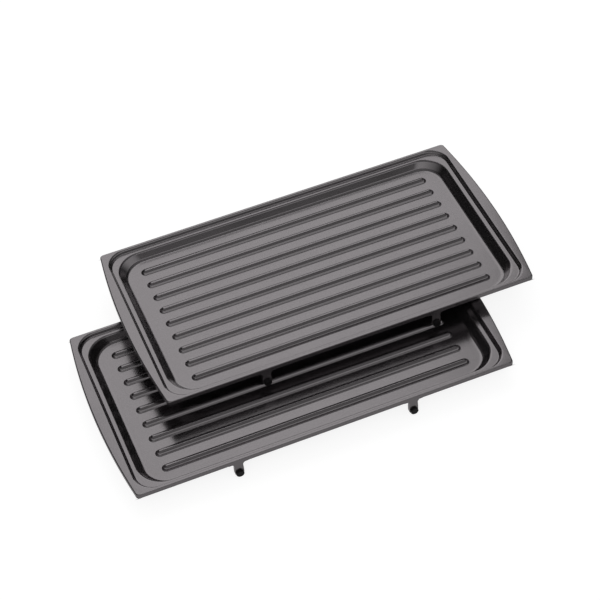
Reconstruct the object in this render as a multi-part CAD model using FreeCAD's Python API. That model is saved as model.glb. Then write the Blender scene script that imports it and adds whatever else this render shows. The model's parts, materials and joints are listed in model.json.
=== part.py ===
"""Pair of removable grill plates of a panini press, stacked as they lie on a worktop.

Both plates are the same aluminium casting: a shallow ribbed pan inside a stepped rim,
with two lugs under each long side. A round-headed stud is riveted through each lug and
carries the plate in the press. The upper plate lies on the rim of the lower one, moved
to the right and to the back.

Millimetres, +Z up, +X along the ribs, front of the plates at -Y. The origin is at the
middle of the stack's box, on the worktop that the lower plate's lugs stand on.
"""
import FreeCAD, Part
import math
import os

Vector = FreeCAD.Vector

# Outline of one plate, seen from above
plate_length = 290.0        # corner to corner, without the arched ends
plate_width = 161.0
end_bulge = 6.0             # rise of each arched end at its middle
outline_corner_radius = 4.0

# Section of one plate: heights are above the cooking floor
rim_height = 9.9
ledge_height = 6.7
skirt_depth = 3.9           # height of the outer face of the rim
skirt_lip = 2.0             # thickness of the skirt behind that face
cast_wall = 2.2
floor_thickness = 2.7
rim_edge_radius = 0.8

# Width of each band between the outline and the floor
end_rim_width = 2.9         # measured at the corners, where the end bulge is nil
side_rim_width = 2.3
step_run = 1.4
end_ledge_width = 3.5
side_ledge_width = 2.8
end_wall_run = 5.2
side_wall_run = 3.2
step_corner_radius = 15.5
wall_corner_radius = 20.0
floor_corner_radius = 18.0

# Cooking ribs: as many as fit on the floor
rib_pitch = 14.5
rib_end_gap = 12.5          # from the ends of the ribs to the ends of the floor
rib_side_gap = 6.0          # least gap from the outer ribs to the sides of the floor
rib_foot_width = 6.4
rib_crest_width = 3.4
rib_height = 2.6

# Flat face under the floor that meets the heater
land_end_gap = 20.0         # from the ends of the face to the ends of the floor
land_side_gap = 17.8
land_corner_radius = 12.0
land_height = 1.0

# Lugs and their studs
lug_spacing = 135.0
lug_shift = -2.0            # both pairs sit a little left of the middle
lug_width = 6.4
lug_end_radius = 3.5
lug_thickness = 3.2
lug_root_radius = 3.0
stud_drop = 4.4             # stud axis below the cooking floor
web_thickness = 2.6
web_clearance = 0.4         # between the riveted tail and the web over it
stud_shank_radius = 2.0
stud_head_radius = 3.0
stud_head_length = 1.8
stud_tail_radius = 2.6
stud_tail_length = 0.8
stud_edge_radius = 0.4
stud_bore_clearance = 0.1

# How the upper plate lies on the lower one
stack_shift_x = 45.1
stack_shift_y = 58.6
stack_gap = 0.3             # between the lower rim and the upper heater face

half_length = plate_length / 2
half_width = plate_width / 2
skirt_bottom = rim_height - skirt_depth
step_top_x = half_length - end_rim_width
step_top_y = half_width - side_rim_width
step_foot_x = step_top_x - step_run
step_foot_y = step_top_y - step_run
wall_top_x = step_foot_x - end_ledge_width
wall_top_y = step_foot_y - side_ledge_width
floor_x = wall_top_x - end_wall_run
floor_y = wall_top_y - side_wall_run
rib_pairs = int((floor_y - rib_side_gap - rib_foot_width / 2) / rib_pitch)
rib_half_length = floor_x - rib_end_gap
land_x = floor_x - land_end_gap
land_y = floor_y - land_side_gap
underside = floor_thickness + land_height
stand_height = stud_drop + lug_end_radius
stack_rise = rim_height + stack_gap + underside


def arched_prism(inset, z_low, z_high):
    """Solid with the plate's outline, moved inwards by inset, between two heights."""
    length = half_length - inset
    width = half_width - inset
    reach = length + end_bulge
    height = z_high - z_low
    solid = Part.makeBox(2 * reach, 2 * width, height, Vector(-reach, -width, z_low))
    arch_radius = (width ** 2 + end_bulge ** 2) / (2 * end_bulge)
    for side in (-1, 1):
        centre = Vector(side * (reach - arch_radius), 0, z_low)
        solid = solid.common(Part.makeCylinder(arch_radius, height, centre))
    corners = [edge for edge in solid.Edges if edge.BoundBox.ZLength > 0.99 * height
               and edge.BoundBox.XLength < 0.01 and edge.BoundBox.YLength < 0.01]
    return solid.makeFillet(max(outline_corner_radius - inset, 0.5), corners)


def rounded_wire(half_x, half_y, radius, z):
    """Closed rectangle with rounded corners, level at one height."""
    edges = []
    for quarter in range(4):
        turn = FreeCAD.Rotation(Vector(0, 0, 1), 90 * quarter)
        ahead, aside = (half_x, half_y) if quarter % 2 == 0 else (half_y, half_x)
        slant = radius * (1 - math.sqrt(0.5))
        points = [Vector(ahead, radius - aside, z),
                  Vector(ahead, aside - radius, z),
                  Vector(ahead - slant, aside - slant, z),
                  Vector(ahead - radius, aside, z)]
        start, corner, middle, end = [turn.multVec(point) for point in points]
        edges.append(Part.LineSegment(start, corner).toShape())
        edges.append(Part.Arc(corner, middle, end).toShape())
    return Part.Wire(edges)


def tapered_block(low, high):
    """Solid between two rounded rectangles, each given as (half_x, half_y, radius, z)."""
    return Part.makeLoft([rounded_wire(*low), rounded_wire(*high)], True, True)


def rounded_edges_on_top(solid, radius):
    """The same solid with its upper outer edges rounded."""
    top = solid.BoundBox.ZMax
    edges = [edge for edge in solid.Edges
             if edge.BoundBox.ZMin > top - 0.01 and edge.Length > 0.01]
    return solid.makeFillet(radius, edges)


def rim():
    """Flange with its skirt turned down, hollow underneath."""
    block = rounded_edges_on_top(arched_prism(0, skirt_bottom, rim_height), rim_edge_radius)
    return block.cut(arched_prism(skirt_lip, skirt_bottom, rim_height - cast_wall))


def shell():
    """Outside of the stepped pan under the rim, with the heater face at its bottom."""
    step_radius = step_corner_radius - step_run + cast_wall
    step = tapered_block(
        (step_foot_x + cast_wall, step_foot_y + cast_wall, step_radius, ledge_height - cast_wall),
        (step_foot_x + cast_wall, step_foot_y + cast_wall, step_radius, rim_height - rim_edge_radius))
    pan = tapered_block(
        (floor_x + cast_wall, floor_y + cast_wall, floor_corner_radius + cast_wall, -floor_thickness),
        (wall_top_x + cast_wall, wall_top_y + cast_wall, wall_corner_radius + cast_wall, ledge_height))
    land = tapered_block(
        (land_x, land_y, land_corner_radius, -underside),
        (land_x, land_y, land_corner_radius, 0))
    return step.fuse(pan).fuse(land)


def cavity():
    """Space above the floor: the pan, and the wider step over the ledge."""
    above = rim_height + cast_wall
    step_over = step_run * (above - ledge_height) / (rim_height - ledge_height)
    pan = tapered_block(
        (floor_x, floor_y, floor_corner_radius, 0),
        (wall_top_x, wall_top_y, wall_corner_radius, ledge_height))
    step = tapered_block(
        (step_foot_x, step_foot_y, step_corner_radius - step_run, ledge_height),
        (step_foot_x + step_over, step_foot_y + step_over,
         step_corner_radius - step_run + step_over, above))
    return pan.fuse(step)


def stadium_wire(half_span, half_breadth, z):
    """Closed slot shape along X with half-round ends."""
    straight = half_span - half_breadth
    edges = []
    for side in (1, -1):
        start = Vector(side * straight, -side * half_breadth, z)
        middle = Vector(side * half_span, 0, z)
        end = Vector(side * straight, side * half_breadth, z)
        edges.append(Part.Arc(start, middle, end).toShape())
        edges.append(Part.LineSegment(end, Vector(-side * straight, side * half_breadth, z)).toShape())
    return Part.Wire(edges)


def rib(y):
    """One cooking rib with round ends and sloping sides, rooted in the floor."""
    inset = (rib_foot_width - rib_crest_width) / 2
    slope = inset / rib_height
    sunk = floor_thickness / 2
    foot_half = rib_foot_width / 2 + slope * sunk
    crest_half = rib_crest_width / 2
    foot = stadium_wire(rib_half_length + slope * sunk, foot_half, -sunk)
    crest = stadium_wire(rib_half_length - inset, crest_half, rib_height)
    return Part.makeLoft([foot, crest], True, True).translated(Vector(0, y, 0))


def y_cylinder(radius, length, x, y, z):
    return Part.makeCylinder(radius, length, Vector(x, y, z), Vector(0, 1, 0))


def lug():
    """Front lug at x = 0: flat tab flush with the skirt, round at its end, tied to the pan by
    a web, and the bore that is cut through it."""
    face = -half_width
    neck_half = lug_width / 2
    neck_top = ledge_height
    tab = Part.makeBox(lug_width, lug_thickness, neck_top + stud_drop,
                       Vector(-neck_half, face, -stud_drop))
    tab = tab.fuse(y_cylinder(lug_end_radius, lug_thickness, 0, face, -stud_drop))
    flare_half = neck_half + lug_root_radius
    flare_low = skirt_bottom - lug_root_radius
    flare = Part.makeBox(2 * flare_half, lug_thickness, neck_top - flare_low,
                         Vector(-flare_half, face, flare_low))
    for side in (-1, 1):
        flare = flare.cut(y_cylinder(lug_root_radius, lug_thickness, side * flare_half, face, flare_low))
    web_low = stud_tail_radius + web_clearance - stud_drop
    web = Part.makeBox(web_thickness, half_width - floor_y, neck_top - web_low,
                       Vector(-web_thickness / 2, face, web_low))
    bore = y_cylinder(stud_shank_radius + stud_bore_clearance, 3 * lug_thickness, 0,
                      face - lug_thickness, -stud_drop)
    return tab.fuse(flare).fuse(web), bore


def lug_places():
    """Side name, x and turn about Z of each lug."""
    places = []
    for end_name, side in (("left", -1), ("right", 1)):
        x = lug_shift + side * lug_spacing / 2
        places.append(("front_" + end_name, x, 0))
        places.append(("rear_" + end_name, x, 180))
    return places


def at_lug(shape, x, turn):
    """A front lug shape made at x = 0, moved to its place on the front or rear side."""
    placed = shape.copy()
    placed.rotate(Vector(0, 0, 0), Vector(0, 0, 1), turn)
    placed.translate(Vector(x, 0, 0))
    return placed


def plate():
    """One grill plate casting in its own frame, cooking floor at z = 0."""
    casting = rim().fuse(shell())
    lug_body, bore = lug()
    for _, x, turn in lug_places():
        casting = casting.fuse(at_lug(lug_body, x, turn))
    casting = casting.cut(cavity())
    for step in range(-rib_pairs, rib_pairs + 1):
        casting = casting.fuse(rib(step * rib_pitch))
    for _, x, turn in lug_places():
        casting = casting.cut(at_lug(bore, x, turn))
    return casting.removeSplitter()


def stud():
    """Round-headed stud for a front lug at x = 0: head outside, shank, riveted tail inside."""
    face = -half_width
    head = y_cylinder(stud_head_radius, stud_head_length, 0, face - stud_head_length, -stud_drop)
    outer_edge = [edge for edge in head.Edges if edge.BoundBox.YMax < face - stud_head_length / 2]
    head = head.makeFillet(stud_edge_radius, outer_edge)
    shank = y_cylinder(stud_shank_radius, lug_thickness, 0, face, -stud_drop)
    tail = y_cylinder(stud_tail_radius, stud_tail_length, 0, face + lug_thickness, -stud_drop)
    return head.fuse(shank).fuse(tail).removeSplitter()


def single_solid(shape):
    """The one solid of a shape, so that every file holds exactly one."""
    if len(shape.Solids) != 1 or not shape.isValid():
        raise ValueError("expected one valid solid, found %d" % len(shape.Solids))
    return shape.Solids[0]


def main():
    os.makedirs("parts", exist_ok=True)
    plate_shape = plate()
    stud_shape = stud()
    shift = Vector(stack_shift_x / 2, stack_shift_y / 2, 0)
    places = {"lower": Vector(0, 0, stand_height) - shift,
              "upper": Vector(0, 0, stand_height + stack_rise) + shift}
    for level, place in places.items():
        nodes = {level + "_plate": plate_shape}
        for lug_name, x, turn in lug_places():
            nodes[level + "_stud_" + lug_name] = at_lug(stud_shape, x, turn)
        for name, shape in nodes.items():
            single_solid(shape).translated(place).exportStep("parts/" + name + ".step")
            print(name, "volume", round(shape.Volume, 1))


main()
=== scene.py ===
"""Removable grill plates of a panini press: castings, studs and studio stage, as an add-on.

Both plates are one casting, modelled once at the lower plate's place and copied to the
upper one's. Its section is a row of level loops, bridged from the heater face outwards,
over the rim and down to the cooking floor.
"""

import json
import math
from collections import namedtuple

import bmesh
import bpy
from bpy.props import FloatProperty, FloatVectorProperty, IntProperty, PointerProperty
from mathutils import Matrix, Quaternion, Vector

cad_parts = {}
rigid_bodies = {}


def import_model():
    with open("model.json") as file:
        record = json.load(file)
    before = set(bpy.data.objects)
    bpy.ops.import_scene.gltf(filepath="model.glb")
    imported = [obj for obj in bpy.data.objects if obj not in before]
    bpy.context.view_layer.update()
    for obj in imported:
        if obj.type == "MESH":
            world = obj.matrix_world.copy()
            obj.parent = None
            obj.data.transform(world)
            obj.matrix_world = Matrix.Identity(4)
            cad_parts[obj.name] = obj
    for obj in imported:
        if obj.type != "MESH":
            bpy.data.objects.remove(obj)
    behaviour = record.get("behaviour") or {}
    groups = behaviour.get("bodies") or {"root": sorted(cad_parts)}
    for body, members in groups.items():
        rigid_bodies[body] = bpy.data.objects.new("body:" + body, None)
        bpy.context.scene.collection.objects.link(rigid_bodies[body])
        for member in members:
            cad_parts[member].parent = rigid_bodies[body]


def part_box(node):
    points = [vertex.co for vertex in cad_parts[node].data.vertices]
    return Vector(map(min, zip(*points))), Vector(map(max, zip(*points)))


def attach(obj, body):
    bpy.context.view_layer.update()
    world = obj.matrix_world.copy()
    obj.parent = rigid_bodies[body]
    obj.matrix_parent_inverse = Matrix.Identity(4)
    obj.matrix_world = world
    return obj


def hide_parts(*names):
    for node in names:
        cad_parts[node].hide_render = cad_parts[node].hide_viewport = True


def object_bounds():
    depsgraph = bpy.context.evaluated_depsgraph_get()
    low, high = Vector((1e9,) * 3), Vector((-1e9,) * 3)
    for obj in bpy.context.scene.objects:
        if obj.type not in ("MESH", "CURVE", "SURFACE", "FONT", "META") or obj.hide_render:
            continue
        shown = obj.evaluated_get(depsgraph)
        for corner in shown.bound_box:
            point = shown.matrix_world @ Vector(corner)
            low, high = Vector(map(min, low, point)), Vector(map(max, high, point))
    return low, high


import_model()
cad_low, cad_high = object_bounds()

bl_info = {
    "name": "Grill plates",
    "version": (1, 0, 0),
    "blender": (4, 5, 0),
    "location": "View3D > Sidebar > Grill plates",
    "description": "Models a stacked pair of removable grill plates on a studio stage",
    "category": "Object",
}

MM = 0.001
LEVELS = ("lower", "upper")
LUGS = ("front_left", "front_right", "rear_left", "rear_right")

CORNER_STEPS = 14       # segments in a round corner of a loop
END_CUTS = 15           # points along each end of a loop, odd so that one is in the middle
ROUNDING_STEPS = 5      # segments across a rounded edge
BRIDGE_LIFT = 20 * MM   # a loop is bridged this far above its place, so that none lies level with the last

Loop = namedtuple("Loop", "half_x half_y corner height rounding bulge")


# ---------------------------------------------------------------- settings

def length(name, millimetres, description):
    """A length setting in scene units."""
    return FloatProperty(name=name, description=description, default=millimetres * MM,
                         unit="LENGTH", precision=5)


def linear(hex_code):
    """Linear red, green and blue of an sRGB hex value."""
    channels = []
    for start in (1, 3, 5):
        value = int(hex_code[start:start + 2], 16) / 255
        channels.append(value / 12.92 if value <= 0.04045 else ((value + 0.055) / 1.055) ** 2.4)
    return tuple(channels)


def colour(name, hex_code, description):
    """A colour setting, written as sRGB and kept as linear light."""
    return FloatVectorProperty(name=name, description=description, default=linear(hex_code),
                               size=3, min=0.0, max=1.0, subtype="COLOR")


class GRILL_PG_plate(bpy.types.PropertyGroup):
    """Section of one casting, with heights above the cooking floor"""
    rim_height: length("Rim height", 9.9, "Top of the rim")
    ledge_height: length("Ledge height", 6.7, "Ledge inside the rim, at the foot of the step")
    ledge_fall: length("Ledge fall", 0.05, "How far the ledge falls towards the pan")
    skirt_depth: length("Skirt depth", 3.9, "Height of the rim's outer face")
    cast_wall: length("Wall", 2.2, "Wall of the pan and of the flange")
    skirt_lip: length("Skirt lip", 2.0, "Wall of the skirt round the hollow ends")
    floor_thickness: length("Floor thickness", 2.7, "Metal under the cooking floor")
    land_height: length("Heater face", 1.0, "How far the heater face stands out below")
    land_half_length: length("Heater face length", 112.0, "Half length of the heater face")
    land_half_width: length("Heater face width", 53.0, "Half width of the heater face")
    end_bulge: length("End bulge", 6.0, "Rise of each arched end")
    end_rim: length("Rim at the ends", 2.9, "Flat top of the rim at the corners")
    side_rim: length("Rim at the sides", 2.3, "Flat top of the rim along the sides")
    step_run: length("Step run", 1.4, "Slope of the step, seen from above")
    end_ledge: length("Ledge at the ends", 3.5, "Width of the ledge at the ends")
    side_ledge: length("Ledge at the sides", 2.8, "Width of the ledge along the sides")
    end_wall: length("Wall run at the ends", 5.2, "Slope of the end walls, from above")
    side_wall: length("Wall run at the sides", 3.2, "Slope of the side walls, from above")
    outline_corner: length("Outline corner", 2.0, "Corner radius of the outline")
    step_corner: length("Step corner", 15.5, "Corner radius at the top of the step")
    wall_corner: length("Wall corner", 20.0, "Corner radius at the top of the wall")
    floor_corner: length("Floor corner", 18.0, "Corner radius of the cooking floor")


class GRILL_PG_ribs(bpy.types.PropertyGroup):
    """Cooking ribs"""
    count: IntProperty(name="Ribs", description="Number of ribs", default=9, min=1)
    pitch: length("Pitch", 14.5, "From one rib to the next")
    half_length: length("Half length", 119.5, "From the middle of a rib to its end")
    foot_width: length("Foot width", 6.4, "Width of a rib at the floor")
    crest_width: length("Crest width", 3.4, "Width of a rib across its crest")
    height: length("Height", 2.6, "From the floor to the crest")
    margin: length("Margin", 1.5, "Flat floor kept round the foot of a rib")


class GRILL_PG_rounding(bpy.types.PropertyGroup):
    """How far each edge's rounding reaches from the edge"""
    rib_foot: length("Rib foot", 0.45, "Where a rib meets the floor")
    rib_crest: length("Rib crest", 1.3, "Along both edges of a crest")
    floor_edge: length("Floor edge", 1.8, "Where the floor meets the wall")
    wall_top: length("Wall top", 1.2, "Over the top of the wall")
    step_top: length("Step top", 1.3, "Over the top of the step")
    step_foot: length("Step foot", 0.9, "Where the ledge meets the step")
    rim: length("Rim", 0.95, "Outer edge of the rim")
    cast_edge: length("Cast edges", 0.4, "Edges underneath and on the lugs")
    pan_edge: length("Pan edge", 1.5, "Outer edge under the pan")


class GRILL_PG_lug(bpy.types.PropertyGroup):
    """Lugs under the long sides and the studs riveted in them"""
    spacing: length("Spacing", 135.0, "Between the two lugs of a side")
    shift: length("Shift", -2.0, "Middle of the lugs from the middle of the plate")
    width: length("Neck width", 6.4, "Width of the tab at its root")
    radius: length("End radius", 3.49, "Round end of the tab")
    thickness: length("Thickness", 3.2, "Thickness of the tab")
    root: length("Root radius", 3.0, "Hollow rounding where the tab meets the skirt")
    drop: length("Stud drop", 4.4, "Stud below the cooking floor")
    web: length("Web", 2.6, "Thickness of the web from the tab to the pan")
    web_drop: length("Web drop", 1.4, "Lower edge of the web below the cooking floor")
    shank: length("Shank radius", 2.0, "Radius of the stud's shank")
    bore_clearance: length("Bore clearance", 0.1, "Room round the shank")
    head_length: length("Head length", 1.8, "How far the head stands out")
    head_round: length("Head edge", 0.6, "Rounding of the head's outer edge")
    tail: length("Tail radius", 2.6, "Radius of the riveted tail")
    tail_length: length("Tail length", 0.8, "How far the riveted tail stands out inside")


class GRILL_PG_finish(bpy.types.PropertyGroup):
    """Colours of the finishes"""
    coating: colour("Coating", "#8b8789", "Non-stick coating seen under a white sky")
    steel: colour("Stud steel", "#1d1c1d", "Black oxide on the studs")
    floor: colour("Floor", "#ffffff", "Studio floor")


class GRILL_PG_settings(bpy.types.PropertyGroup):
    """All sizes and colours of the grill plates"""
    plate: PointerProperty(type=GRILL_PG_plate)
    ribs: PointerProperty(type=GRILL_PG_ribs)
    rounding: PointerProperty(type=GRILL_PG_rounding)
    lug: PointerProperty(type=GRILL_PG_lug)
    finish: PointerProperty(type=GRILL_PG_finish)


# ---------------------------------------------------------------- modelling helpers

def deselect_everything():
    """Object mode with nothing selected."""
    if bpy.context.object and bpy.context.object.mode != "OBJECT":
        bpy.ops.object.mode_set(mode="OBJECT")
    bpy.ops.object.select_all(action="DESELECT")


def make_active(piece):
    """The piece alone selected and active."""
    deselect_everything()
    piece.select_set(True)
    bpy.context.view_layer.objects.active = piece


def start_piece(name, add_primitive, **settings):
    """A new object at the origin from one primitive, left in edit mode, all selected."""
    deselect_everything()
    add_primitive(**settings)
    piece = bpy.context.object
    piece.name = name
    bpy.ops.object.transform_apply(location=True, rotation=True, scale=True)
    bpy.ops.object.mode_set(mode="EDIT")
    bpy.ops.mesh.select_mode(type="VERT")
    bpy.ops.mesh.select_all(action="SELECT")
    return piece


def box_centre(node_name):
    """Middle of a CAD node's box."""
    return sum(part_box(node_name), Vector()) / 2


def select_where(piece, kind, test):
    """Selects the vertices, edges or faces that pass the test, and checks that there are some."""
    bpy.ops.mesh.select_mode(type=kind)
    bpy.ops.mesh.select_all(action="DESELECT")
    mesh = bmesh.from_edit_mesh(piece.data)
    chosen = [part for part in {"VERT": mesh.verts, "EDGE": mesh.edges, "FACE": mesh.faces}[kind]
              if test(part)]
    for part in chosen:
        part.select_set(True)
    bmesh.update_edit_mesh(piece.data)
    if not chosen:
        raise RuntimeError("nothing to select on " + piece.name)


def middle(part):
    """Middle of an edge's or a face's corners."""
    return sum((corner.co for corner in part.verts), Vector()) / len(part.verts)


def apply_modifier(piece, kind, **settings):
    """Adds a modifier, sets it and applies it."""
    make_active(piece)
    modifier = piece.modifiers.new("Step", kind)
    for name, value in settings.items():
        setattr(modifier, name, value)
    bpy.ops.object.modifier_apply(modifier=modifier.name)


def combine(piece, other, operation):
    """Boolean of two closed pieces. The other one is used up."""
    apply_modifier(piece, "BOOLEAN", operation=operation, object=other, solver="EXACT")
    bpy.data.objects.remove(other, do_unlink=True)


def smooth_over_roundings(piece, angle=35):
    """Smooth shading on the roundings, true flats on the flats."""
    make_active(piece)
    bpy.ops.object.shade_smooth_by_angle(angle=math.radians(angle))
    apply_modifier(piece, "WEIGHTED_NORMAL", keep_sharp=True)


def copied(piece, name, offset, turned=False):
    """A copy with its own mesh, turned half round about the origin's vertical first if asked."""
    make_active(piece)
    bpy.ops.object.duplicate(linked=False)
    copy = bpy.context.object
    copy.name = name
    if turned:
        copy.rotation_euler = (0, 0, math.pi)
        bpy.ops.object.transform_apply(location=False, rotation=True, scale=False)
    copy.location = offset
    bpy.ops.object.transform_apply(location=True, rotation=False, scale=False)
    return copy


# ---------------------------------------------------------------- finishes

def add_node(tree, kind, settings=None, inputs=None):
    """Adds a node, sets its properties, and sets or links its inputs."""
    node = tree.nodes.new(kind)
    for name, value in (settings or {}).items():
        setattr(node, name, value)
    for name, value in (inputs or {}).items():
        if isinstance(value, bpy.types.NodeSocket):
            tree.links.new(value, node.inputs[name])
        else:
            node.inputs[name].default_value = value
    return node


def new_material(name):
    """An empty material and its node tree."""
    material = bpy.data.materials.new(name)
    material.use_nodes = True
    material.node_tree.nodes.clear()
    return material, material.node_tree


def nonstick_coating(finish):
    """PTFE coating with metallic pigment, sprayed and baked on a blasted casting.
    It looks like dark warm grey satin metal with a fine grain under the gloss."""
    grain = 0.45 * MM
    drift = 38 * MM
    material, tree = new_material("Baked PTFE coating with metallic pigment")
    place = add_node(tree, "ShaderNodeTexCoord")
    fine = add_node(tree, "ShaderNodeTexNoise", {},
                    {"Vector": place.outputs["Object"], "Scale": 1 / grain, "Detail": 2.0,
                     "Roughness": 0.55})
    broad = add_node(tree, "ShaderNodeTexNoise", {},
                     {"Vector": place.outputs["Object"], "Scale": 1 / drift, "Detail": 3.0})
    shade = add_node(tree, "ShaderNodeMapRange", {},
                     {"Value": fine.outputs["Fac"], "From Min": 0.3, "From Max": 0.7,
                      "To Min": 0.93, "To Max": 1.07})
    base = add_node(tree, "ShaderNodeMix", {"data_type": "RGBA", "blend_type": "MULTIPLY"},
                    {"Factor": 1.0, 6: (*finish.coating, 1.0), 7: shade.outputs["Result"]})
    gloss = add_node(tree, "ShaderNodeMapRange", {},
                     {"Value": broad.outputs["Fac"], "From Min": 0.35, "From Max": 0.65,
                      "To Min": 0.19, "To Max": 0.22})
    bump = add_node(tree, "ShaderNodeBump", {},
                    {"Height": fine.outputs["Fac"], "Strength": 0.08, "Distance": 0.05 * MM})
    surface = add_node(tree, "ShaderNodeBsdfPrincipled", {},
                       {"Base Color": base.outputs[2], "Metallic": 0.97,
                        "Roughness": gloss.outputs["Result"], "Normal": bump.outputs["Normal"]})
    add_node(tree, "ShaderNodeOutputMaterial", {}, {"Surface": surface.outputs["BSDF"]})
    return material


def blackened_steel(finish):
    """Turned steel with black oxide from a hot bath: near black, with a dull satin gloss."""
    grain = 0.6 * MM
    material, tree = new_material("Black oxide on turned steel")
    place = add_node(tree, "ShaderNodeTexCoord")
    fine = add_node(tree, "ShaderNodeTexNoise", {},
                    {"Vector": place.outputs["Object"], "Scale": 1 / grain, "Detail": 2.0})
    gloss = add_node(tree, "ShaderNodeMapRange", {},
                     {"Value": fine.outputs["Fac"], "From Min": 0.3, "From Max": 0.7,
                      "To Min": 0.38, "To Max": 0.5})
    bump = add_node(tree, "ShaderNodeBump", {},
                    {"Height": fine.outputs["Fac"], "Strength": 0.1, "Distance": 0.05 * MM})
    surface = add_node(tree, "ShaderNodeBsdfPrincipled", {},
                       {"Base Color": (*finish.steel, 1.0), "Metallic": 0.6,
                        "Roughness": gloss.outputs["Result"], "Normal": bump.outputs["Normal"]})
    add_node(tree, "ShaderNodeOutputMaterial", {}, {"Surface": surface.outputs["BSDF"]})
    return material


def set_material(piece, material):
    """The material alone on a piece."""
    piece.data.materials.clear()
    piece.data.materials.append(material)


# ---------------------------------------------------------------- casting

def casting_loops(plate, rounding, half_x, half_y):
    """The casting's loops from the heater face outwards, over the rim and down to the floor."""
    step_top = (half_x - plate.end_rim, half_y - plate.side_rim)
    step_foot = (step_top[0] - plate.step_run, step_top[1] - plate.step_run)
    wall_top = (step_foot[0] - plate.end_ledge, step_foot[1] - plate.side_ledge)
    floor = (wall_top[0] - plate.end_wall, wall_top[1] - plate.side_wall)
    step_foot_corner = plate.step_corner - plate.step_run
    wall = plate.cast_wall
    underside = -plate.floor_thickness
    ledge_underside = plate.ledge_height - wall
    skirt_bottom = plate.rim_height - plate.skirt_depth
    part_up = (ledge_underside - underside) / (plate.ledge_height - underside)
    land = (plate.land_half_length, plate.land_half_width, 12 * MM)
    shoulder = (step_foot[0] + wall, step_foot[1] + wall, step_foot_corner + wall)
    outline = (half_x, half_y, plate.outline_corner)
    edge = rounding.cast_edge
    support = rounding.floor_edge + 1.2 * MM
    return [
        Loop(*land, underside - plate.land_height, edge, 0),
        Loop(*land, underside, edge, 0),
        Loop(floor[0] + wall, floor[1] + wall, plate.floor_corner + wall, underside,
             rounding.pan_edge, 0),
        Loop(floor[0] + wall + part_up * plate.end_wall, floor[1] + wall + part_up * plate.side_wall,
             plate.floor_corner + wall + part_up * (plate.wall_corner - plate.floor_corner),
             ledge_underside, edge, 0),
        Loop(*shoulder, ledge_underside, edge, 0),
        Loop(*shoulder, skirt_bottom, 0.5 * edge, 0),
        Loop(*outline, skirt_bottom, edge, plate.end_bulge),
        Loop(*outline, plate.rim_height, rounding.rim, plate.end_bulge),
        Loop(*step_top, plate.step_corner, plate.rim_height, rounding.step_top, 0),
        Loop(*step_foot, step_foot_corner, plate.ledge_height, rounding.step_foot, 0),
        Loop(*wall_top, plate.wall_corner, plate.ledge_height - plate.ledge_fall,
             rounding.wall_top, 0),
        Loop(*floor, plate.floor_corner, 0, rounding.floor_edge, 0),
        Loop(floor[0] - support, floor[1] - support, plate.floor_corner - support, 0, 0, 0),
    ]


def add_plane_at(place, half_x, half_y, corner):
    """A level plane with round corners added to the mesh in hand, alone selected."""
    bpy.ops.mesh.primitive_plane_add(size=1.0, location=place)
    bpy.ops.transform.resize(value=(2 * half_x, 2 * half_y, 1), center_override=place)
    bpy.ops.mesh.bevel(offset=corner, segments=CORNER_STEPS, affect="VERTICES", profile=0.5,
                       clamp_overlap=False)
    bpy.ops.mesh.select_linked()
    bpy.ops.mesh.remove_doubles(threshold=0.01 * MM)


def add_loop(piece, home, loop, widest):
    """Adds a loop over its place round home, with its end arches and its rounding's weight."""
    place = home + Vector((0, 0, loop.height + BRIDGE_LIFT))
    add_plane_at(place, loop.half_x, loop.half_y, loop.corner)
    bpy.ops.mesh.delete(type="ONLY_FACE")
    select_where(piece, "EDGE", lambda edge: edge.is_wire and edge.calc_length() > loop.half_y
                 and abs(edge.verts[0].co.x - edge.verts[1].co.x) < 0.01 * MM)
    bpy.ops.mesh.subdivide(number_cuts=END_CUTS)
    if loop.bulge:
        for side in (-1, 1):
            select_where(piece, "VERT", lambda vert: vert.is_wire
                         and abs(vert.co.y - place.y) < 0.01 * MM
                         and side * (vert.co.x - place.x) > 0)
            bpy.ops.transform.translate(
                value=(side * loop.bulge, 0, 0), use_proportional_edit=True,
                use_proportional_connected=True, proportional_size=loop.half_y,
                proportional_edit_falloff="INVERSE_SQUARE")
    select_where(piece, "EDGE", lambda edge: edge.is_wire)
    if loop.rounding:
        bpy.ops.transform.edge_bevelweight(value=loop.rounding / widest)


def add_ribs(piece, home, ribs, rounding, widest):
    """One rib from a plane with round ends, raised by insets, then copied across the floor."""
    first = home - Vector((0, ribs.pitch * (ribs.count - 1) / 2, 0))
    foot = ribs.foot_width / 2
    add_plane_at(first, ribs.half_length + ribs.margin, foot + ribs.margin, foot + ribs.margin)
    bpy.ops.mesh.select_mode(type="FACE")
    bpy.ops.mesh.inset(thickness=ribs.margin, depth=0)
    bpy.ops.transform.edge_bevelweight(value=rounding.rib_foot / widest)
    bpy.ops.mesh.inset(thickness=foot - ribs.crest_width / 2, depth=ribs.height)
    bpy.ops.transform.edge_bevelweight(value=rounding.rib_crest / widest)
    bpy.ops.mesh.select_linked()
    for _ in range(ribs.count - 1):
        bpy.ops.mesh.duplicate_move(TRANSFORM_OT_translate={"value": (0, ribs.pitch, 0)})


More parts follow.
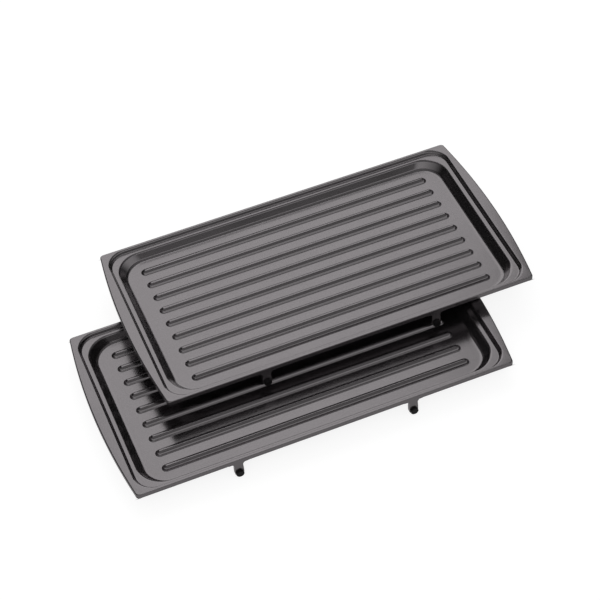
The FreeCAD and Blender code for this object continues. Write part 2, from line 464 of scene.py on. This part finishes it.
def hollow_cutter(home, plate, half_x, half_y, side):
    """Lens-shaped cutter for the hollow under an arched end, open downwards."""
    inner = half_x - plate.end_rim - plate.step_run + plate.cast_wall + 0.3 * MM
    reach = half_y - plate.skirt_lip
    end = 0.86 * reach
    rise = plate.end_bulge * (end / reach) ** 2
    outer = half_x - plate.skirt_lip + plate.end_bulge - rise
    low = plate.rim_height - plate.skirt_depth - 1 * MM
    place = home + Vector((side * (inner + outer) / 2, 0, low))
    piece = start_piece("hollow_cutter", bpy.ops.mesh.primitive_plane_add, size=1.0, location=place)
    bpy.ops.transform.resize(value=(outer - inner, 2 * end, 1), center_override=place)
    bpy.ops.mesh.delete(type="ONLY_FACE")
    select_where(piece, "EDGE", lambda edge: side * (middle(edge).x - place.x) > 0.01 * MM)
    bpy.ops.mesh.subdivide(number_cuts=END_CUTS)
    bpy.ops.mesh.hide(unselected=True)
    select_where(piece, "VERT", lambda vert: abs(vert.co.y - place.y) < 0.01 * MM)
    bpy.ops.transform.translate(value=(side * rise, 0, 0), use_proportional_edit=True,
                                proportional_size=end,
                                proportional_edit_falloff="INVERSE_SQUARE")
    bpy.ops.mesh.reveal()
    bpy.ops.mesh.select_all(action="SELECT")
    bpy.ops.mesh.edge_face_add()
    bpy.ops.mesh.extrude_region_move(TRANSFORM_OT_translate={
        "value": (0, 0, plate.skirt_depth - plate.cast_wall + 1 * MM)})
    bpy.ops.mesh.select_all(action="SELECT")
    bpy.ops.mesh.normals_make_consistent(inside=False)
    return piece


def lug_piece(lug, plate, cast_edge, half_y):
    """Front lug at x = 0: a tab with a round end and hollow roots, a web to the pan and a bore."""
    face = -half_y
    skirt_bottom = plate.rim_height - plate.skirt_depth
    neck = lug.width / 2
    bar_top = skirt_bottom + 1.0 * MM
    piece = start_piece("lug", bpy.ops.mesh.primitive_plane_add, size=1.0,
                        location=(0, face, -lug.drop), rotation=(math.pi / 2, 0, 0))
    bpy.ops.transform.resize(value=(2 * lug.radius, 1, 2 * lug.radius),
                             center_override=(0, face, -lug.drop))
    top = -lug.drop + lug.radius
    for new_top, half in ((skirt_bottom, neck), (bar_top, neck)):
        select_where(piece, "EDGE", lambda edge: middle(edge).z > top - 0.01 * MM)
        bpy.ops.mesh.extrude_region_move(TRANSFORM_OT_translate={"value": (0, 0, new_top - top)})
        width = max(vert.co.x for vert in bmesh.from_edit_mesh(piece.data).verts if vert.select)
        bpy.ops.transform.resize(value=(half / width, 1, 1), center_override=(0, face, new_top))
        top = new_top
    for side in (-1, 1):
        select_where(piece, "EDGE", lambda edge: side * middle(edge).x > neck - 0.01 * MM
                     and middle(edge).z > skirt_bottom)
        bpy.ops.mesh.extrude_region_move(
            TRANSFORM_OT_translate={"value": (side * (lug.root + 1 * MM), 0, 0)})
    bpy.ops.mesh.select_all(action="SELECT")
    bpy.ops.mesh.dissolve_limited(angle_limit=math.radians(0.1), use_dissolve_boundaries=False)
    select_where(piece, "VERT", lambda vert: vert.co.z < -lug.drop - lug.radius / 2)
    bpy.ops.mesh.bevel(offset=lug.radius, segments=CORNER_STEPS, affect="VERTICES",
                       profile=0.5, clamp_overlap=False)
    bpy.ops.mesh.remove_doubles(threshold=0.01 * MM)
    select_where(piece, "VERT", lambda vert: abs(vert.co.z - skirt_bottom) < 0.01 * MM
                 and abs(vert.co.x) < neck + 0.01 * MM)
    bpy.ops.mesh.bevel(offset=lug.root, segments=CORNER_STEPS // 2, affect="VERTICES",
                       profile=0.5, clamp_overlap=False)
    bpy.ops.mesh.select_all(action="SELECT")
    bpy.ops.mesh.extrude_region_move(
        TRANSFORM_OT_translate={"value": (0, lug.thickness, 0)})
    bpy.ops.mesh.select_all(action="SELECT")
    bpy.ops.mesh.normals_make_consistent(inside=False)
    select_where(piece, "EDGE", lambda edge: abs(edge.verts[0].co.y - edge.verts[1].co.y) < 0.01 * MM
                 and max(vert.co.z for vert in edge.verts) < skirt_bottom - 0.01 * MM)
    bpy.ops.mesh.bevel(offset=cast_edge, segments=3, affect="EDGES", clamp_overlap=False)

    pan_side = (half_y - plate.side_rim - plate.step_run - plate.side_ledge - plate.side_wall
                + plate.cast_wall)
    low, high = -lug.web_drop, plate.ledge_height - plate.cast_wall + 0.4 * MM
    near, far = face + lug.thickness / 2, -pan_side - 0.2 * MM
    web = start_piece("web", bpy.ops.mesh.primitive_cube_add, size=1.0,
                      location=(0, (near + far) / 2, (low + high) / 2),
                      scale=(lug.web, far - near, high - low))
    combine(piece, web, "UNION")
    bore = start_piece("bore", bpy.ops.mesh.primitive_cylinder_add, vertices=48,
                       radius=lug.shank + lug.bore_clearance, depth=3 * lug.thickness,
                       location=(0, face + lug.thickness / 2, -lug.drop),
                       rotation=(math.pi / 2, 0, 0))
    combine(piece, bore, "DIFFERENCE")
    return piece


class GRILL_OT_plates(bpy.types.Operator):
    """Model the casting, copy it to the upper place and coat both"""
    bl_idname = "grill.plates"
    bl_label = "Grill plates"

    def execute(self, context):
        settings = context.scene.grill_plates
        piece = self.casting(settings)
        set_material(piece, nonstick_coating(settings.finish))
        lower, upper = (box_centre(level + "_plate") for level in LEVELS)
        second = copied(piece, "upper_grill_plate", upper - lower)
        for level, plate in zip(LEVELS, (piece, second)):
            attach(plate, level)
            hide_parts(level + "_plate")
        return {"FINISHED"}

    @staticmethod
    def casting(settings):
        """The lower plate."""
        plate, rounding, lug = settings.plate, settings.rounding, settings.lug
        low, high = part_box("lower_plate")
        centre = (low + high) / 2
        home = Vector((centre.x, centre.y, high.z - plate.rim_height))
        half_x = (high.x - low.x) / 2 - plate.end_bulge
        half_y = (high.y - low.y) / 2
        loops = casting_loops(plate, rounding, half_x, half_y)
        widest = max(loop.rounding for loop in loops)

        piece = start_piece("lower_grill_plate", bpy.ops.mesh.primitive_plane_add, size=1.0)
        bpy.ops.mesh.delete(type="VERT")
        for number, loop in enumerate(loops):
            add_loop(piece, home, loop, widest)
            select_where(piece, "EDGE", lambda edge: len(edge.link_faces) < 2)
            if number:
                bpy.ops.mesh.bridge_edge_loops()
            else:
                bpy.ops.mesh.edge_face_add()
            select_where(piece, "EDGE", lambda edge: len(edge.link_faces) == 1)
            bpy.ops.transform.translate(value=(0, 0, -BRIDGE_LIFT))
        add_ribs(piece, home, settings.ribs, rounding, widest)
        select_where(piece, "EDGE", lambda edge: len(edge.link_faces) == 1)
        bpy.ops.mesh.fill(use_beauty=True)
        bpy.ops.mesh.select_all(action="SELECT")
        bpy.ops.mesh.normals_make_consistent(inside=False)
        apply_modifier(piece, "BEVEL", limit_method="WEIGHT", width=widest,
                       segments=ROUNDING_STEPS, use_clamp_overlap=False)

        for side in (-1, 1):
            combine(piece, hollow_cutter(home, plate, half_x, half_y, side), "DIFFERENCE")

        tab = lug_piece(lug, plate, rounding.cast_edge, half_y)
        for side in (-1, 1):
            for turned in (False, True):
                offset = home + Vector((lug.shift + side * lug.spacing / 2, 0, 0))
                combine(piece, copied(tab, "lug_copy", offset, turned), "UNION")
        bpy.data.objects.remove(tab, do_unlink=True)
        smooth_over_roundings(piece)
        return piece


class GRILL_OT_studs(bpy.types.Operator):
    """Turn one stud, copy it to every lug and blacken all"""
    bl_idname = "grill.studs"
    bl_label = "Studs"

    def execute(self, context):
        settings = context.scene.grill_plates
        names = [(level, level + "_stud_" + lug) for level in LEVELS for lug in LUGS]
        first_name = names[0][1]
        home = box_centre(first_name)
        first = self.turned_stud(settings.lug, first_name)
        set_material(first, blackened_steel(settings.finish))
        studs = [first]
        for _, node_name in names[1:]:
            turned = "rear" in node_name
            start = Vector((-home.x, -home.y, home.z)) if turned else home
            studs.append(copied(first, node_name + "_turned", box_centre(node_name) - start, turned))
        for (level, node_name), stud in zip(names, studs):
            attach(stud, level)
            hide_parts(node_name)
        return {"FINISHED"}

    @staticmethod
    def turned_stud(sizes, node_name):
        """A front stud: head, shank and riveted tail, drawn out of one disc along Y."""
        low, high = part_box(node_name)
        centre = (low + high) / 2
        head_radius = (high.x - low.x) / 2
        shank_length = (high.y - low.y) - sizes.head_length - sizes.tail_length
        piece = start_piece(
            node_name + "_turned", bpy.ops.mesh.primitive_cylinder_add, vertices=48,
            radius=head_radius, depth=sizes.head_length, end_fill_type="NGON",
            location=(centre.x, low.y + sizes.head_length / 2, centre.z),
            rotation=(math.pi / 2, 0, 0))

        def select_end(side):
            """The flat face at one end."""
            ends = [middle(face).y * side for face in bmesh.from_edit_mesh(piece.data).faces]
            select_where(piece, "FACE",
                         lambda face: middle(face).y * side > max(ends) - 0.001 * MM)

        select_end(1)
        bpy.ops.mesh.inset(thickness=head_radius - sizes.shank)
        bpy.ops.mesh.extrude_region_move(
            TRANSFORM_OT_translate={"value": (0, shank_length, 0)})
        bpy.ops.mesh.extrude_region_move(TRANSFORM_OT_translate={"value": (0, 0, 0)})
        bpy.ops.transform.resize(value=(sizes.tail / sizes.shank, 1, sizes.tail / sizes.shank),
                                 center_override=(centre.x, centre.y, centre.z))
        bpy.ops.mesh.extrude_region_move(
            TRANSFORM_OT_translate={"value": (0, sizes.tail_length, 0)})
        bpy.ops.mesh.bevel(offset=sizes.tail_length / 3, segments=3, affect="EDGES")
        select_end(-1)
        bpy.ops.mesh.bevel(offset=sizes.head_round, segments=5, affect="EDGES")
        smooth_over_roundings(piece)
        return piece


# ---------------------------------------------------------------- stage

TENT_RADIUS = 0.9
TENT_HEIGHT = 1.2
TENT_SHIFT = 0.2        # how far back the tent's middle is
WINDOW_SILL = 0.16
WINDOW_FROM = -15       # degrees from straight back, towards the right
WINDOW_TO = 45


def only_in_reflections(piece):
    """A stage piece that neither the camera sees nor the light meets."""
    piece.visible_camera = False
    piece.visible_diffuse = False
    piece.visible_transmission = False
    piece.visible_shadow = False


class GRILL_OT_stage(bpy.types.Operator):
    """Set up the floor, the lights and the camera"""
    bl_idname = "grill.stage"
    bl_label = "Studio stage"

    def execute(self, context):
        settings = context.scene.grill_plates
        self.white_surround(context.scene)
        self.floor(settings.finish)
        self.tent()
        self.table_card()
        self.lights()
        self.camera(context.scene)
        context.scene.view_settings.view_transform = "Standard"
        return {"FINISHED"}

    @staticmethod
    def white_surround(scene):
        """White behind the object and in its reflections, and a plain sky for soft light."""
        world = bpy.data.worlds.new("White surround")
        scene.world = world
        world.use_nodes = True
        tree = world.node_tree
        tree.nodes.clear()
        path = add_node(tree, "ShaderNodeLightPath")
        seen = add_node(tree, "ShaderNodeMath", {"operation": "MAXIMUM"},
                        {0: path.outputs["Is Camera Ray"], 1: path.outputs["Is Glossy Ray"]})
        seen = add_node(tree, "ShaderNodeMath", {"operation": "MAXIMUM"},
                        {0: seen.outputs[0], 1: path.outputs["Is Transmission Ray"]})
        light = add_node(tree, "ShaderNodeBackground", {}, {"Color": (1, 1, 1, 1), "Strength": 0.45})
        white = add_node(tree, "ShaderNodeBackground", {}, {"Color": (1, 1, 1, 1), "Strength": 1.0})
        both = add_node(tree, "ShaderNodeMixShader", {},
                        {0: seen.outputs[0], 1: light.outputs[0], 2: white.outputs[0]})
        add_node(tree, "ShaderNodeOutputWorld", {}, {"Surface": both.outputs[0]})

    @staticmethod
    def floor(finish):
        """A white floor that stays white where it is lit and keeps a soft shadow."""
        piece = start_piece("studio_floor", bpy.ops.mesh.primitive_plane_add, size=6.0,
                            location=(0, 0, cad_low.z - 0.05 * MM))
        deselect_everything()
        material, tree = new_material("White studio floor")
        matt = add_node(tree, "ShaderNodeBsdfDiffuse", {},
                        {"Color": (*[0.3 * c for c in finish.floor], 1.0)})
        glow = add_node(tree, "ShaderNodeEmission", {},
                        {"Color": (*finish.floor, 1.0), "Strength": 0.85})
        path = add_node(tree, "ShaderNodeLightPath")
        seen = add_node(tree, "ShaderNodeMath", {"operation": "MAXIMUM"},
                        {0: path.outputs["Is Camera Ray"], 1: path.outputs["Is Glossy Ray"]})
        seen = add_node(tree, "ShaderNodeMath", {"operation": "MAXIMUM"},
                        {0: seen.outputs[0], 1: path.outputs["Is Transmission Ray"]})
        both = add_node(tree, "ShaderNodeAddShader", {}, {0: matt.outputs[0], 1: glow.outputs[0]})
        mixed = add_node(tree, "ShaderNodeMixShader", {},
                         {0: seen.outputs[0], 1: matt.outputs[0], 2: both.outputs[0]})
        add_node(tree, "ShaderNodeOutputMaterial", {}, {"Surface": mixed.outputs[0]})
        set_material(piece, material)

    @staticmethod
    def tent():
        """Black cloth all round and overhead with a window at the back, which only reflections show. It
        glows as painted light: brighter low in front, faint under the roof, near black at the back.
        """
        piece = start_piece("black_tent", bpy.ops.mesh.primitive_cylinder_add, vertices=72,
                            radius=TENT_RADIUS, depth=TENT_HEIGHT, end_fill_type="TRIFAN",
                            location=(0, TENT_SHIFT, TENT_HEIGHT / 2))
        bpy.ops.mesh.bisect(plane_co=(0, 0, WINDOW_SILL), plane_no=(0, 0, 1))
        select_where(piece, "FACE", lambda face: middle(face).z < MM)
        bpy.ops.mesh.delete(type="FACE")

        def in_window(face):
            """Above the sill, in the open sector at the back."""
            at = middle(face) - Vector((0, TENT_SHIFT, 0))
            return at.z > WINDOW_SILL and WINDOW_FROM < math.degrees(math.atan2(at.x, at.y)) < WINDOW_TO

        select_where(piece, "FACE", in_window)
        bpy.ops.mesh.delete(type="FACE")
        deselect_everything()
        # The tent's brightness is painted light: an emission, strongest low in front and faint under the
        # roof.
        material, tree = new_material("Tent glow, painted light in front")
        place = add_node(tree, "ShaderNodeTexCoord")
        axes = add_node(tree, "ShaderNodeSeparateXYZ", {}, {"Vector": place.outputs["Object"]})
        front = add_node(tree, "ShaderNodeMapRange", {"interpolation_type": "SMOOTHSTEP"},
                         {"Value": axes.outputs["Y"], "From Min": -0.5, "From Max": 0.5,
                          "To Min": 1.0, "To Max": 0.0})
        low = add_node(tree, "ShaderNodeMapRange", {},
                       {"Value": axes.outputs["Z"], "From Min": 0.13, "From Max": 0.23,
                        "To Min": 0.07, "To Max": 0.65})
        high = add_node(tree, "ShaderNodeMapRange", {},
                        {"Value": axes.outputs["Z"], "From Min": 0.45, "From Max": 0.75,
                         "To Min": 1.0, "To Max": 0.2})
        roof = add_node(tree, "ShaderNodeMapRange", {},
                        {"Value": axes.outputs["Z"], "From Min": 0.95, "From Max": TENT_HEIGHT,
                         "To Min": 0.008, "To Max": 0.13})
        both = add_node(tree, "ShaderNodeMath", {"operation": "MULTIPLY"},
                        {0: low.outputs[0], 1: high.outputs[0]})
        shade = add_node(tree, "ShaderNodeMath", {"operation": "MULTIPLY_ADD"},
                         {0: both.outputs[0], 1: front.outputs[0], 2: roof.outputs[0]})
        # Painted light: the tent glows at this strength, and no lamp lights it.
        tent_glow = add_node(tree, "ShaderNodeEmission", {},
                        {"Color": (1, 1, 1, 1), "Strength": shade.outputs[0]})
        add_node(tree, "ShaderNodeOutputMaterial", {}, {"Surface": tent_glow.outputs[0]})
        set_material(piece, material)
        only_in_reflections(piece)

    @staticmethod
    def table_card():
        """Grey card on the floor, which the skirt and the lugs reflect. It glows at a fixed strength as
        painted light, standing in for the lit table.
        """
        piece = start_piece("grey_card", bpy.ops.mesh.primitive_plane_add, size=6.0,
                            location=(0, 0, cad_low.z - 0.03 * MM))
        deselect_everything()
        material, tree = new_material("Grey card")
        # Painted light: the card's grey is a glow, and no lamp lights it.
        grey = add_node(tree, "ShaderNodeEmission", {}, {"Color": (1, 1, 1, 1), "Strength": 0.4})
        add_node(tree, "ShaderNodeOutputMaterial", {}, {"Surface": grey.outputs[0]})
        set_material(piece, material)
        only_in_reflections(piece)

    @staticmethod
    def lights():
        """One large soft light high at the back, one weaker in front."""
        for name, place, size, power in (("back_softbox", (0.25, 1.0, 1.3), 1.2, 4.5),
                                         ("front_softbox", (-0.6, -1.0, 1.5), 1.0, 3.1)):
            data = bpy.data.lights.new(name, "AREA")
            data.shape = "SQUARE"
            data.size = size
            data.energy = power
            lamp = bpy.data.objects.new(name, data)
            lamp.location = place
            lamp.rotation_mode = "QUATERNION"
            lamp.rotation_quaternion = (-Vector(place)).to_track_quat("-Z", "Y")
            lamp.visible_glossy = False
            bpy.context.scene.collection.objects.link(lamp)

    @staticmethod
    def camera(scene):
        """A long lens from the front left, looking down on both plates, rolled a little."""
        azimuth, elevation, roll = math.radians(-17.91), math.radians(47.35), math.radians(-5.445)
        back = Vector((math.sin(azimuth) * math.cos(elevation),
                       -math.cos(azimuth) * math.cos(elevation), math.sin(elevation)))
        aim = Vector((0.4 * MM, 1.0 * MM, cad_high.z))
        data = bpy.data.cameras.new("camera")
        data.lens = 111.3
        data.sensor_width = 36.0
        camera = bpy.data.objects.new("camera", data)
        camera.location = aim + back * 1383.9 * MM
        camera.rotation_mode = "QUATERNION"
        camera.rotation_quaternion = ((-back).to_track_quat("-Z", "Y")
                                      @ Quaternion((0, 0, 1), roll))
        scene.collection.objects.link(camera)
        scene.camera = camera


# ---------------------------------------------------------------- panel and registration

class GRILL_PT_panel(bpy.types.Panel):
    """Lists the steps and their settings"""
    bl_label = "Grill plates"
    bl_idname = "GRILL_PT_panel"
    bl_space_type = "VIEW_3D"
    bl_region_type = "UI"
    bl_category = "Grill plates"

    def draw(self, context):
        settings = context.scene.grill_plates
        for group_name in settings.__annotations__:
            group = getattr(settings, group_name)
            box = self.layout.box()
            for name in group.__annotations__:
                box.prop(group, name)
        for step in STEPS:
            self.layout.operator(step.bl_idname)


STEPS = (GRILL_OT_stage, GRILL_OT_plates, GRILL_OT_studs)
GROUPS = (GRILL_PG_plate, GRILL_PG_ribs, GRILL_PG_rounding, GRILL_PG_lug, GRILL_PG_finish,
          GRILL_PG_settings)


def register():
    for item in (*GROUPS, *STEPS, GRILL_PT_panel):
        bpy.utils.register_class(item)
    bpy.types.Scene.grill_plates = PointerProperty(type=GRILL_PG_settings)


def unregister():
    del bpy.types.Scene.grill_plates
    for item in reversed((*GROUPS, *STEPS, GRILL_PT_panel)):
        bpy.utils.unregister_class(item)


def main():
    register()
    bpy.ops.grill.stage()
    bpy.ops.grill.plates()
    bpy.ops.grill.studs()


if __name__ == "__main__":
    main()
